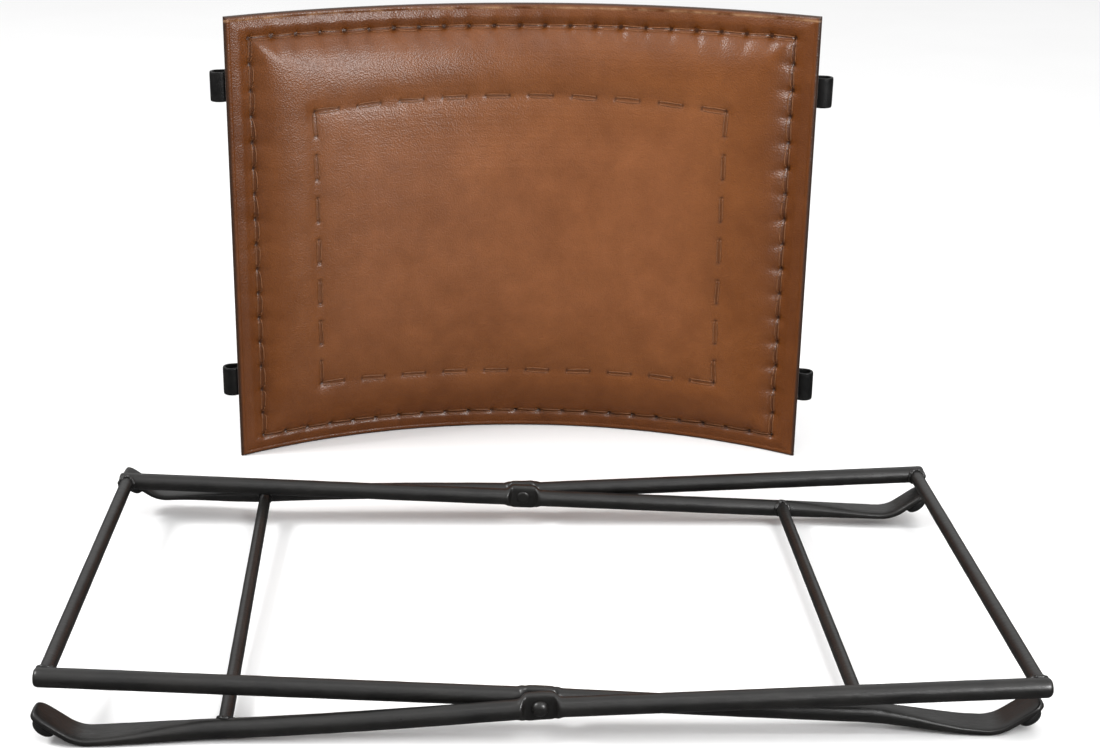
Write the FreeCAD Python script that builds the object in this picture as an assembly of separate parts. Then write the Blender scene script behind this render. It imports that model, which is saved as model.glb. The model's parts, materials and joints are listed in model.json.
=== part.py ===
import FreeCAD, Part
import math
import os

os.makedirs("parts", exist_ok=True)

# A folding iron frame and its removable padded leather sling, taken apart:
# the frame lies spread on the floor and the sling stands on edge behind it.
# Millimetres and degrees, +Z up, +X to the right, +Y towards the sling.
#
# The frame is two U-shaped halves riveted where their legs cross. The inner
# half has its top bar on the left and its feet on the right. The outer half
# is the other way round, with its legs just outside the inner half's legs.
# Leg places are written as (s, y, n): s runs from the rivet towards the foot,
# y is the row's own Y and n is square to the leg, upwards.

# Driving dimensions of the frame
LEG_DIAMETER = 12.7
BAR_DIAMETER = 10.0
STRETCHER_DIAMETER = 9.0
INNER_LEG_SPACING = 312.0
LEG_SIDE_GAP = 0.4
BAR_REACH = 308.0
SPREAD_TILT = 2.6
LEG_END_ROUNDING = 1.6

# Weld fillets of the bars and stretchers
WELD_WIDTH = 1.9
WELD_LENGTH = 5.0
WELD_THIN_EDGE = 0.4
WELD_ROOT_DEPTH = 3.0

# Riveted bosses
BOSS_HALF_LENGTH = 11.0
BOSS_HEIGHT = 18.5
BOSS_THICKNESS = 7.0
BOSS_BLEND = 6.0
RIVET_SHANK_DIAMETER = 7.0
RIVET_HEAD_DIAMETER = 10.4
RIVET_HEAD_HEIGHT = 4.2
RIVET_TAIL_DIAMETER = 10.0
RIVET_TAIL_HEIGHT = 0.9
RIVET_RUNNING_CLEARANCE = 0.05
RIVET_TAIL_CLEARANCE = 0.1

# Feet
TAPER_START = 200.0
HEEL_REACH = 278.0
FOOT_BEND = 38.0
FOOT_BEND_RADIUS = 25.0
PADDLE_LENGTH = 24.0
PADDLE_WIDTH = 22.0
PADDLE_THICKNESS = 5.0
PADDLE_TIP_REACH = 9.0
PADDLE_TIP_POWER = 2.4
PADDLE_TIP_WIDTH_SHARE = 0.35
GLIDE_FROM_TIP = 12.0
GLIDE_SEAT_DIAMETER = 19.0
GLIDE_SEAT_HEIGHT = 2.2
GLIDE_PAD_DIAMETER = 17.0
GLIDE_PAD_HEIGHT = 4.0
GLIDE_PAD_TAPER = 1.5
GLIDE_STUD_DIAMETER = 4.0
GLIDE_STUD_HEIGHT = 3.0

# Sling: an upright panel bowed away from the viewer
SLING_CHORD = 472.0
SLING_BOW = 74.0
SLING_HEIGHT = 373.0
SLING_BEHIND_FRAME = 296.0
LEATHER_THICKNESS = 3.0
PAD_THICKNESS = 16.0
PAD_EDGE_CHAMFER = 11.0
COVER_EDGE_CHAMFER = 12.5
HEM_WIDTH = 25.0
THREAD_WIDTH = 2.4
THREAD_HEIGHT = 0.9
STITCH_CORNER_GAP = 1.6

# Straps that hold the sling on the top bars
STRAP_WIDTH = 24.0
STRAP_HEIGHTS = {
    "upper_left": 316.5,
    "lower_left": 66.0,
    "upper_right": 311.5,
    "lower_right": 61.5,
}
STRAP_THICKNESS = 2.5
STRAP_LENGTH = 66.0
LOOP_RADIUS = BAR_DIAMETER / 2 + 0.3
TONGUE_THICKNESS = 2.3
TONGUE_LENGTH = 52.0
TONGUE_SIDE_MARGIN = 0.5
TONGUE_REST_GAP = 0.35
TONGUE_LEAD = 7.5
TONGUE_LANDING = 27.0
TONGUE_HINGE_GAP = 0.4
SNAP_FROM_EDGE = 40.0
SNAP_CAP_DIAMETER = 11.0
SNAP_CAP_HEIGHT = 2.2
SNAP_STUD_DIAMETER = 4.0
SNAP_STUD_HEIGHT = 2.0
SNAP_HOLE_DIAMETER = 6.0
STRAP_RIVET_FROM_EDGE = 59.0
STRAP_RIVET_SPACING = 13.0
STRAP_RIVET_DIAMETER = 6.0
STRAP_RIVET_HEIGHT = 1.4
TOUCH_GAP = 0.05
METAL_SEAT_GAP = 0.02

LEG_RADIUS = LEG_DIAMETER / 2
INNER_LEG_Y = INNER_LEG_SPACING / 2
OUTER_LEG_Y = INNER_LEG_Y + LEG_DIAMETER + LEG_SIDE_GAP
LEG_END = BAR_REACH + LEG_RADIUS

ARC_RADIUS = (SLING_CHORD ** 2 / 4 + SLING_BOW ** 2) / (2 * SLING_BOW)
ARC_CENTRE_Y = SLING_BEHIND_FRAME + SLING_BOW - ARC_RADIUS
EDGE_ANGLE = math.degrees(math.asin(SLING_CHORD / 2 / ARC_RADIUS))
FRONT_RADIUS = ARC_RADIUS - LEATHER_THICKNESS
BACK_RADIUS = ARC_RADIUS + LEATHER_THICKNESS
PAD_FRONT_RADIUS = ARC_RADIUS - PAD_THICKNESS

Y_AXIS = FreeCAD.Vector(0, 1, 0)
Z_AXIS = FreeCAD.Vector(0, 0, 1)
ORIGIN = FreeCAD.Vector(0, 0, 0)


class LegShape:
    """How one leg of the frame was bent. The drops are how far its middle
    line lies below the straight line through the rivet, where its taper
    starts and at its heel. The splay moves the foot out to the side."""

    def __init__(self, taper_drop, heel_drop, splay=0.0):
        self.taper_drop = taper_drop
        self.heel_drop = heel_drop
        self.splay = splay

    def drop(self, s):
        early = self.taper_drop * math.sin(math.pi / 2 * min(1.0, max(0.0, s) / TAPER_START))
        return early + (self.heel_drop - self.taper_drop) * taper_share(s)


class StretcherEnd:
    """Where a stretcher meets a leg: reach along it, lift above its middle."""

    def __init__(self, reach, lift):
        self.reach = reach
        self.lift = lift


class Half:
    """One U-shaped half of the frame: its leg axes and its placing at rest.
    Shapes and stretcher ends are given by side: -1 is near and 1 is far."""

    def __init__(self, name, foot_side, leg_y, partner_side, shapes, stretcher_ends):
        tilt = math.radians(SPREAD_TILT)
        self.name = name
        self.leg_y = leg_y
        self.partner_side = partner_side
        self.shapes = shapes
        self.stretcher_ends = stretcher_ends
        self.along = FreeCAD.Vector(foot_side * math.cos(tilt), 0, -math.sin(tilt))
        self.normal = FreeCAD.Vector(foot_side * math.sin(tilt), 0, math.cos(tilt))

    def point(self, s, y, n):
        return self.along * s + Y_AXIS * y + self.normal * n

    def square(self, angle):
        """Square to the leg after it has turned up by an angle."""
        turn = math.radians(angle)
        return self.normal * math.cos(turn) - self.along * math.sin(turn)


def smooth(value):
    value = min(1.0, max(0.0, value))
    return value * value * (3 - 2 * value)


def taper_share(s):
    return smooth((s - TAPER_START) / (HEEL_REACH - TAPER_START))


INNER = Half(
    "inner",
    1,
    INNER_LEG_Y,
    1,
    {-1: LegShape(1.2, 6.7), 1: LegShape(0.0, -0.4)},
    {-1: StretcherEnd(202.0, 1.5), 1: StretcherEnd(202.0, 1.5)},
)
OUTER = Half(
    "outer",
    -1,
    OUTER_LEG_Y,
    -1,
    {-1: LegShape(5.6, 6.7), 1: LegShape(-6.5, -8.5, 5.0)},
    {-1: StretcherEnd(195.5, 1.5), 1: StretcherEnd(202.0, 0.0)},
)


def section(centre, across, upward, half_width, half_height, power):
    """A closed superellipse: power 2 is an ellipse, 5 a rounded rectangle."""
    count = 24
    points = []
    for k in range(count):
        turn = 2 * math.pi * k / count
        c, s = math.cos(turn), math.sin(turn)
        u = math.copysign(abs(c) ** (2 / power), c) * half_width
        v = math.copysign(abs(s) ** (2 / power), s) * half_height
        points.append(centre + across * u + upward * v)
    curve = Part.BSplineCurve()
    curve.interpolate(
        Points=points, PeriodicFlag=True, Parameters=[k / count for k in range(count + 1)]
    )
    return Part.Wire([curve.toShape()])


def leg_centre(half, side, s, n=None):
    """A point of a leg's middle line, bent as its shape says."""
    shape = half.shapes[side]
    if n is None:
        n = -shape.drop(s)
    return half.point(s, side * (half.leg_y + shape.splay * taper_share(s)), n)


def round_section(half, side, s, radius=LEG_RADIUS):
    return section(leg_centre(half, side, s), Y_AXIS, half.normal, radius, radius, 2)


def boss_section(half, side, s):
    """Flattened on the face away from the other half of the frame."""
    partner = side * half.partner_side
    offset = partner * (LEG_RADIUS - BOSS_THICKNESS / 2)
    centre = half.point(s, side * half.leg_y + offset, 0)
    return section(centre, Y_AXIS, half.normal, BOSS_THICKNESS / 2, BOSS_HEIGHT / 2, 5)


def foot_path(heel_drop):
    """The heel's bend and the paddle, as (s, n, angle, distance from tip)."""
    path = []
    bend_steps = 4
    for k in range(1, bend_steps + 1):
        angle = FOOT_BEND * k / bend_steps
        turn = math.radians(angle)
        s = HEEL_REACH + FOOT_BEND_RADIUS * math.sin(turn)
        n = -heel_drop + FOOT_BEND_RADIUS * (1 - math.cos(turn))
        path.append((s, n, angle, None))
    turn = math.radians(FOOT_BEND)
    last_s, last_n = path[-1][0], path[-1][1]
    for from_tip in (PADDLE_TIP_REACH, 5.0, 2.0, 0.5, 0.0):
        run = PADDLE_LENGTH - from_tip
        s = last_s + run * math.cos(turn)
        n = last_n + run * math.sin(turn)
        path.append((s, n, FOOT_BEND, from_tip))
    return path


def paddle_half_width(from_tip):
    """The paddle's rounded tip, seen from above."""
    if from_tip is None:
        return PADDLE_WIDTH / 2
    inside = max(0.0, 1 - (1 - from_tip / PADDLE_TIP_REACH) ** PADDLE_TIP_POWER)
    share = PADDLE_TIP_WIDTH_SHARE + (1 - PADDLE_TIP_WIDTH_SHARE) * math.sqrt(inside)
    return PADDLE_WIDTH / 2 * share


def make_leg(half, side):
    wires = [round_section(half, side, -LEG_END, LEG_RADIUS - LEG_END_ROUNDING)]
    wires.append(round_section(half, side, -LEG_END + LEG_END_ROUNDING))
    wires.append(round_section(half, side, -BOSS_HALF_LENGTH - BOSS_BLEND))
    wires.append(boss_section(half, side, -BOSS_HALF_LENGTH))
    wires.append(boss_section(half, side, BOSS_HALF_LENGTH))
    wires.append(round_section(half, side, BOSS_HALF_LENGTH + BOSS_BLEND))
    sag_steps = 4
    for k in range(1, sag_steps + 1):
        wires.append(round_section(half, side, TAPER_START * k / sag_steps))
    taper_steps = 4
    for k in range(1, taper_steps + 1):
        share = k / taper_steps
        s = TAPER_START + (HEEL_REACH - TAPER_START) * share
        width = LEG_RADIUS + (PADDLE_WIDTH / 2 - LEG_RADIUS) * smooth(share)
        height = LEG_RADIUS + (PADDLE_THICKNESS / 2 - LEG_RADIUS) * smooth(share)
        centre = leg_centre(half, side, s)
        wires.append(section(centre, Y_AXIS, half.normal, width, height, 2 + 2 * share))
    for s, n, angle, from_tip in foot_path(half.shapes[side].heel_drop):
        centre = leg_centre(half, side, s, n)
        width = paddle_half_width(from_tip)
        wires.append(
            section(centre, Y_AXIS, half.square(angle), width, PADDLE_THICKNESS / 2, 4)
        )
    leg = Part.makeLoft(wires, True, True)
    hole_radius = RIVET_SHANK_DIAMETER / 2
    if half is INNER:
        hole_radius += RIVET_RUNNING_CLEARANCE
    start = FreeCAD.Vector(0, side * half.leg_y - 2 * LEG_DIAMETER, 0)
    leg = leg.cut(Part.makeCylinder(hole_radius, 4 * LEG_DIAMETER, start, Y_AXIS))
    seat, upward = glide_seat(half, side)
    stud_hole = Part.makeCylinder(
        GLIDE_STUD_DIAMETER / 2, GLIDE_STUD_HEIGHT + 2, seat - upward * 2, upward
    )
    return leg.cut(stud_hole)


def glide_seat(half, side):
    """Middle of the glide on the paddle's underside, and the way up."""
    turn = math.radians(FOOT_BEND)
    run = PADDLE_LENGTH - GLIDE_FROM_TIP
    s = HEEL_REACH + FOOT_BEND_RADIUS * math.sin(turn) + run * math.cos(turn)
    n = FOOT_BEND_RADIUS * (1 - math.cos(turn)) + run * math.sin(turn)
    upward = half.square(FOOT_BEND)
    centre = leg_centre(half, side, s, n - half.shapes[side].heel_drop)
    return centre - upward * (PADDLE_THICKNESS / 2), upward


def make_glide(half, side):
    """A round rubber glide with a stud pressed into the paddle."""
    seat, upward = glide_seat(half, side)
    down = upward * -1
    shape = Part.makeCylinder(
        GLIDE_SEAT_DIAMETER / 2, GLIDE_SEAT_HEIGHT, seat + down * TOUCH_GAP, down
    )
    pad_top = seat + down * GLIDE_SEAT_HEIGHT
    pad_radius = GLIDE_PAD_DIAMETER / 2
    pad = Part.makeCone(
        pad_radius, pad_radius - GLIDE_PAD_TAPER, GLIDE_PAD_HEIGHT, pad_top, down
    )
    stud = Part.makeCylinder(
        GLIDE_STUD_DIAMETER / 2, GLIDE_STUD_HEIGHT + 1, seat + down, upward
    )
    return shape.fuse([pad, stud]).removeSplitter()


def cross_member(near, far, diameter, legs):
    """A round bar between two points, coped onto the insides of its legs."""
    bar = Part.makeCylinder(diameter / 2, (far - near).Length, near, far - near)
    return bar.cut(legs[0]).cut(legs[1])


def weld_collars(near, far, diameter, legs, bar):
    """The weld fillets at both ends of a cross member."""
    collars = []
    for end, other in ((near, far), (far, near)):
        inward = (other - end).normalize()
        root = end + inward * (LEG_RADIUS - WELD_ROOT_DEPTH)
        thick, thin = diameter / 2 + WELD_WIDTH, diameter / 2 + WELD_THIN_EDGE
        cone = Part.makeCone(thick, thin, WELD_LENGTH, root, inward)
        collar = cone.cut(legs[0]).cut(legs[1]).cut(bar)
        collars.append(max(collar.Solids, key=lambda solid: solid.Volume))
    return collars


def stretcher_point(half, side):
    end = half.stretcher_ends[side]
    drop = half.shapes[side].drop(end.reach)
    return half.point(end.reach, side * half.leg_y, end.lift - drop)


def make_half(half):
    parts = {}
    legs = [make_leg(half, -1), make_leg(half, 1)]
    bar_ends = [half.point(-BAR_REACH, side * half.leg_y, 0) for side in (-1, 1)]
    stretcher_ends = [stretcher_point(half, side) for side in (-1, 1)]
    bar = cross_member(*bar_ends, BAR_DIAMETER, legs)
    stretcher = cross_member(*stretcher_ends, STRETCHER_DIAMETER, legs)
    welds = weld_collars(*bar_ends, BAR_DIAMETER, legs, bar)
    welds += weld_collars(*stretcher_ends, STRETCHER_DIAMETER, legs, stretcher)
    for leg, side, word in ((legs[0], -1, "near"), (legs[1], 1, "far")):
        parts[f"{half.name}_leg_{word}"] = leg
        parts[f"{half.name}_glide_{word}"] = make_glide(half, side)
    parts[f"{half.name}_top_bar"] = bar
    parts[f"{half.name}_stretcher"] = stretcher
    parts[f"{half.name}_weld_beads"] = Part.makeCompound(welds)
    return parts


def make_rivet(side):
    """A domed rivet, fast in the outer leg and running in the inner leg."""
    outward = Y_AXIS * side
    outer_face = OUTER_LEG_Y - LEG_RADIUS + BOSS_THICKNESS
    inner_face = INNER_LEG_Y + LEG_RADIUS - BOSS_THICKNESS - RIVET_TAIL_CLEARANCE
    shank = Part.makeCylinder(
        RIVET_SHANK_DIAMETER / 2, outer_face - inner_face, outward * inner_face, outward
    )
    head_radius = RIVET_HEAD_DIAMETER / 2
    ball_radius = (head_radius ** 2 + RIVET_HEAD_HEIGHT ** 2) / (2 * RIVET_HEAD_HEIGHT)
    ball_y = outer_face + RIVET_HEAD_HEIGHT - ball_radius
    ball = Part.makeSphere(ball_radius, outward * ball_y)
    keep = Part.makeCylinder(head_radius, RIVET_HEAD_HEIGHT + 1, outward * outer_face, outward)
    tail_start = inner_face - RIVET_TAIL_HEIGHT
    tail = Part.makeCylinder(
        RIVET_TAIL_DIAMETER / 2, RIVET_TAIL_HEIGHT, outward * tail_start, outward
    )
    return shank.fuse([ball.common(keep), tail]).removeSplitter()


def polar(radius, angle):
    """A point of the sling's plan: angle from straight back, + to the right."""
    turn = math.radians(angle)
    return FreeCAD.Vector(radius * math.sin(turn), ARC_CENTRE_Y + radius * math.cos(turn), 0)


def arc_edge(radius, start, end):
    middle = (start + end) / 2
    return Part.Arc(polar(radius, start), polar(radius, middle), polar(radius, end)).toShape()


def line_edge(start, end):
    return Part.LineSegment(start, end).toShape()


def panel(inner_radius, outer_radius, half_angle, low, high):
    """An upright slab bent round the sling's arc."""
    edges = [
        arc_edge(outer_radius, -half_angle, half_angle),
        line_edge(polar(outer_radius, half_angle), polar(inner_radius, half_angle)),
        arc_edge(inner_radius, half_angle, -half_angle),
        line_edge(polar(inner_radius, -half_angle), polar(outer_radius, -half_angle)),
    ]
    face = Part.Face(Part.Wire(edges))
    slab = face.extrude(Z_AXIS * (high - low))
    slab.translate(Z_AXIS * low)
    return slab


def angle_of(length):
    return math.degrees(length / ARC_RADIUS)


def padded_block(front_radius, inset, chamfer):
    """The raised pad: a bent slab with its four front edges sloped off."""
    half_angle = EDGE_ANGLE - angle_of(inset)
    block = panel(front_radius, ARC_RADIUS, half_angle, inset, SLING_HEIGHT - inset)
    front_edges = []
    for edge in block.Edges:
        distances = [
            math.hypot(v.Point.x, v.Point.y - ARC_CENTRE_Y) for v in edge.Vertexes
        ]
        if all(abs(d - front_radius) < 0.01 for d in distances):
            front_edges.append(edge)
    return block.makeChamfer(chamfer, front_edges)


def make_sling_panels():
    padding = padded_block(PAD_FRONT_RADIUS, HEM_WIDTH + LEATHER_THICKNESS, PAD_EDGE_CHAMFER)
    raised = padded_block(PAD_FRONT_RADIUS - LEATHER_THICKNESS, HEM_WIDTH, COVER_EDGE_CHAMFER)
    hem = panel(FRONT_RADIUS, ARC_RADIUS, EDGE_ANGLE, 0, SLING_HEIGHT)
    front = hem.fuse(raised).cut(padding)
    back = panel(ARC_RADIUS, BACK_RADIUS, EDGE_ANGLE, 0, SLING_HEIGHT)
    return {
        "sling_front_leather": front,
        "sling_back_leather": back,
        "sling_padding": padding,
    }


class StitchPlan:
    """A rectangle of stitches: insets of its corners from the panel's edges,
    how many stitches lie across and up each side, how long one is, and how
    far the top row bows up in its middle."""

    def __init__(self, side, top, bottom, across, upright, length, bow=0.0):
        self.side = side
        self.top = top
        self.bottom = bottom
        self.across = across
        self.upright = upright
        self.length = length
        self.bow = bow

    def centres(self, low, high, count):
        start = low + STITCH_CORNER_GAP + self.length / 2
        end = high - STITCH_CORNER_GAP - self.length / 2
        return [start + (end - start) * k / (count - 1) for k in range(count)]


HEM_STITCHES = StitchPlan(21.0, 19.0, 15.0, 22, 16, 18.0)
INNER_STITCHES = StitchPlan(72.0, 80.5, 57.5, 10, 7, 21.0, 6.5)


def make_stitch(radius, angle, height, length, upright):
    """One thread lying on the front of the sling."""
    across, along = (THREAD_WIDTH, length) if upright else (length, THREAD_WIDTH)
    stitch = Part.makeBox(across, THREAD_HEIGHT, along)
    stitch.translate(FreeCAD.Vector(-across / 2, -THREAD_HEIGHT, -along / 2))
    stitch.rotate(ORIGIN, Z_AXIS, -angle)
    spot = polar(radius, angle)
    sagitta = (across / 2) ** 2 / (2 * radius)
    lift = polar(radius - TOUCH_GAP - sagitta, angle) - spot
    stitch.translate(spot + lift + Z_AXIS * height)
    return stitch


def stitch_rectangle(radius, plan):
    stitches = []
    side_angle = EDGE_ANGLE - angle_of(plan.side)
    low, high = plan.bottom, SLING_HEIGHT - plan.top
    for height in plan.centres(low, high, plan.upright):
        for angle in (-side_angle, side_angle):
            stitches.append(make_stitch(radius, angle, height, plan.length, True))
    half_arc = math.radians(side_angle) * ARC_RADIUS
    for place in plan.centres(-half_arc, half_arc, plan.across):
        top = high + plan.bow * (1 - (place / half_arc) ** 2)
        for height in (low, top):
            stitches.append(make_stitch(radius, angle_of(place), height, plan.length, False))
    return Part.makeCompound(stitches)


class Strap:
    """One strap at the sling's edge. Its plan is written as (t, m): t runs
    out past the edge along the panel, and m square to it, to the back."""

    def __init__(self, side, height):
        self.side = side
        self.low = height - STRAP_WIDTH / 2
        turn = math.radians(EDGE_ANGLE)
        self.outward = FreeCAD.Vector(side * math.cos(turn), -math.sin(turn), 0)
        self.back = FreeCAD.Vector(side * math.sin(turn), math.cos(turn), 0)
        self.edge = polar(ARC_RADIUS, side * EDGE_ANGLE)
        self.bar_m = LEATHER_THICKNESS + STRAP_THICKNESS + LOOP_RADIUS
        self.hinge_t = -(TONGUE_THICKNESS / 2 + TONGUE_HINGE_GAP)
        self.hinge_m = self.bar_m + LOOP_RADIUS + STRAP_THICKNESS / 2

    def at(self, t, m):
        return self.edge + self.outward * t + self.back * m

    def on_panel(self, from_edge, m):
        return polar(ARC_RADIUS + m, self.side * (EDGE_ANGLE - angle_of(from_edge)))

    def panel_arc(self, m, start, end):
        middle = (start + end) / 2
        points = [self.on_panel(d, m) for d in (start, middle, end)]
        return Part.Arc(*points).toShape()

    def loop_arc(self, radius, flip):
        points = [
            self.at(0, self.bar_m - radius),
            self.at(radius, self.bar_m),
            self.at(0, self.bar_m + radius),
        ]
        if flip:
            points.reverse()
        return Part.Arc(*points).toShape()

    def extrude(self, edges, margin=0.0):
        face = Part.Face(Part.Wire(edges))
        shape = face.extrude(Z_AXIS * (STRAP_WIDTH - 2 * margin))
        shape.translate(Z_AXIS * (self.low + margin))
        return shape

    def base(self):
        """Fixed to the back of the panel, then turned back round the bar."""
        near_m = LEATHER_THICKNESS + TOUCH_GAP
        far_m = LEATHER_THICKNESS + STRAP_THICKNESS
        outer_radius = LOOP_RADIUS + STRAP_THICKNESS - TOUCH_GAP
        edges = [
            self.panel_arc(near_m, STRAP_LENGTH, 0),
            self.loop_arc(outer_radius, False),
            line_edge(
                self.at(0, self.bar_m + outer_radius), self.at(0, self.bar_m + LOOP_RADIUS)
            ),
            self.loop_arc(LOOP_RADIUS, True),
            self.panel_arc(far_m, 0, STRAP_LENGTH),
            line_edge(self.on_panel(STRAP_LENGTH, far_m), self.on_panel(STRAP_LENGTH, near_m)),
        ]
        return self.extrude(edges)

    def tongue(self):
        """The free end, from the loop down to the snap on the fixed end."""
        half = TONGUE_THICKNESS / 2
        rest_m = LEATHER_THICKNESS + STRAP_THICKNESS + TONGUE_REST_GAP + half
        path = [
            self.at(self.hinge_t, self.hinge_m),
            self.at(-TONGUE_LEAD, self.hinge_m),
            self.on_panel(TONGUE_LANDING, rest_m),
            self.on_panel(SNAP_FROM_EDGE, rest_m),
            self.on_panel(TONGUE_LENGTH, rest_m),
        ]
        inner, outer = offset_path(path, half, self.back)
        edges = [line_edge(a, b) for a, b in zip(inner, inner[1:])]
        edges.append(line_edge(inner[-1], outer[-1]))
        backwards = outer[::-1]
        edges += [line_edge(a, b) for a, b in zip(backwards, backwards[1:])]
        tip = path[0] + self.outward * half
        edges.append(Part.Arc(outer[0], tip, inner[0]).toShape())
        shape = self.extrude(edges, TONGUE_SIDE_MARGIN)
        spot, away = self.snap_axis(0)
        through = rest_m + 2 * TONGUE_THICKNESS
        hole = Part.makeCylinder(SNAP_HOLE_DIAMETER / 2, through, spot, away)
        return shape.cut(hole)

    def snap_axis(self, m):
        """A point on the snap's axis at a depth behind the panel."""
        angle = self.side * (EDGE_ANGLE - angle_of(SNAP_FROM_EDGE))
        away = polar(1, angle) - polar(0, angle)
        spot = self.on_panel(SNAP_FROM_EDGE, m)
        return spot + Z_AXIS * (self.low + STRAP_WIDTH / 2), away

    def cap(self):
        """The snap's cap on the back of the tongue."""
        m = LEATHER_THICKNESS + STRAP_THICKNESS + TONGUE_THICKNESS + 2 * TONGUE_REST_GAP
        spot, away = self.snap_axis(m)
        disc = Part.makeCylinder(SNAP_CAP_DIAMETER / 2, SNAP_CAP_HEIGHT, spot, away)
        rim = [edge for edge in disc.Edges if edge.Closed and is_far(edge, spot, away)]
        return disc.makeFillet(SNAP_CAP_HEIGHT * 0.45, rim)

    def stud(self):
        spot, away = self.snap_axis(LEATHER_THICKNESS + STRAP_THICKNESS + METAL_SEAT_GAP)
        return Part.makeCylinder(SNAP_STUD_DIAMETER / 2, SNAP_STUD_HEIGHT, spot, away)

    def rivets(self):
        """Two low rivets that hold the fixed end to the panel."""
        angle = self.side * (EDGE_ANGLE - angle_of(STRAP_RIVET_FROM_EDGE))
        away = polar(1, angle) - polar(0, angle)
        seat_m = LEATHER_THICKNESS + STRAP_THICKNESS + METAL_SEAT_GAP
        spot = self.on_panel(STRAP_RIVET_FROM_EDGE, seat_m)
        middle = self.low + STRAP_WIDTH / 2
        shapes = []
        for step in (-0.5, 0.5):
            place = spot + Z_AXIS * (middle + step * STRAP_RIVET_SPACING)
            radius = STRAP_RIVET_DIAMETER / 2
            shapes.append(Part.makeCone(radius, radius * 0.6, STRAP_RIVET_HEIGHT, place, away))
        return shapes


def is_far(edge, spot, away):
    return (edge.CenterOfMass - spot).dot(away) > SNAP_CAP_HEIGHT / 2


def offset_path(path, distance, back):
    """Mitred offsets of an open path to both sides, in plan."""
    inner, outer = [], []
    for k, point in enumerate(path):
        before = path[k] - path[k - 1] if k > 0 else path[1] - path[0]
        after = path[k + 1] - path[k] if k < len(path) - 1 else before
        before, after = FreeCAD.Vector(before), FreeCAD.Vector(after)
        before.normalize()
        after.normalize()
        mean = before + after
        mean.normalize()
        side = Z_AXIS.cross(mean)
        if side.dot(back) < 0:
            side = side * -1
        reach = distance / max(0.5, mean.dot(after))
        inner.append(point - side * reach)
        outer.append(point + side * reach)
    return inner, outer


def make_straps():
    parts = {}
    studs, rivets = [], []
    for word, height in STRAP_HEIGHTS.items():
        strap = Strap(-1 if word.endswith("left") else 1, height)
        parts[f"strap_base_{word}"] = strap.base()
        parts[f"strap_tongue_{word}"] = strap.tongue()
        parts[f"snap_cap_{word}"] = strap.cap()
        studs.append(strap.stud())
        rivets += strap.rivets()
        hinge = strap.at(strap.hinge_t, strap.hinge_m)
        print(f"hinge {word}: x {hinge.x:.4f} y {hinge.y:.4f}")
        bar = strap.at(0, strap.bar_m)
        print(f"loop {word}: x {bar.x:.4f} y {bar.y:.4f}")
    parts["snap_studs"] = Part.makeCompound(studs)
    parts["strap_rivets"] = Part.makeCompound(rivets)
    return parts


def main():
    frame = make_half(INNER)
    frame.update(make_half(OUTER))
    frame["pivot_rivet_near"] = make_rivet(-1)
    frame["pivot_rivet_far"] = make_rivet(1)
    floor = min(shape.optimalBoundingBox(False).ZMin for shape in frame.values())
    for shape in frame.values():
        shape.translate(Z_AXIS * -floor)

    sling = make_sling_panels()
    sling["sling_hem_stitching"] = stitch_rectangle(FRONT_RADIUS, HEM_STITCHES)
    pad_front = PAD_FRONT_RADIUS - LEATHER_THICKNESS
    sling["sling_inner_stitching"] = stitch_rectangle(pad_front, INNER_STITCHES)
    sling.update(make_straps())

    nodes = {**frame, **sling}
    boxes = [shape.optimalBoundingBox(False) for shape in nodes.values()]
    middle = (min(box.YMin for box in boxes) + max(box.YMax for box in boxes)) / 2
    centre_x = (min(box.XMin for box in boxes) + max(box.XMax for box in boxes)) / 2
    for name, shape in nodes.items():
        shape.translate(FreeCAD.Vector(-centre_x, -middle, 0))
        shape.exportStep(f"parts/{name}.step")
        print(name, shape.ShapeType, len(shape.Solids), shape.isValid(), round(shape.Volume, 1))
    print(f"pivot height {-floor:.4f}, shift x {-centre_x:.4f}, shift y {-middle:.4f}")


main()
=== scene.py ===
import json
import math
import random

import bpy
import numpy as np
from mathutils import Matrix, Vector, noise


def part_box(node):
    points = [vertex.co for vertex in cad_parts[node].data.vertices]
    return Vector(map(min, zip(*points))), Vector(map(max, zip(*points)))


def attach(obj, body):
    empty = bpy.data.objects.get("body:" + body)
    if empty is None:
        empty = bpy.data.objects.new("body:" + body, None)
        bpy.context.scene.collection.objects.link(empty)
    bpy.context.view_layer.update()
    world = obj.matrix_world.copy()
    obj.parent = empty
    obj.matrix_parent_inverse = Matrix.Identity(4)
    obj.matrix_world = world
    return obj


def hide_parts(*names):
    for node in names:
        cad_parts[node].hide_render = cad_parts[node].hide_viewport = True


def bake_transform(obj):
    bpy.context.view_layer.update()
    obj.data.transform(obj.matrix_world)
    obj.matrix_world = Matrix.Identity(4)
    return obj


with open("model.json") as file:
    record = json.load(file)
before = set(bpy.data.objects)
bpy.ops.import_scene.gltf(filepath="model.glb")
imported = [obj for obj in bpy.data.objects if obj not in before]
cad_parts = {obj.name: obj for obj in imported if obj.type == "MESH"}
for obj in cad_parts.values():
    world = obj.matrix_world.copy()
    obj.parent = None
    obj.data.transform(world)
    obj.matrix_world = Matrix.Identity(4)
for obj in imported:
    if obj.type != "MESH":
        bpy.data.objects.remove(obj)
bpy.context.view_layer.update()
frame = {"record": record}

# A folding iron frame, spread on the floor, and its padded leather sling,
# standing on edge behind it. The sizes of the frame and the sling are in
# millimetres, and MM turns them into metres. The camera, the lights and the
# floor are in metres.
MM = 0.001

# Camera: looks along +Y and down, a little left of the frame's middle
CAMERA_LEFT = 0.0495
CAMERA_BACK = 1.1794
CAMERA_HEIGHT = 0.6016
CAMERA_PITCH = 19.8
CAMERA_LENS = 60.9
CAMERA_SHIFT = 0.0821

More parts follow.
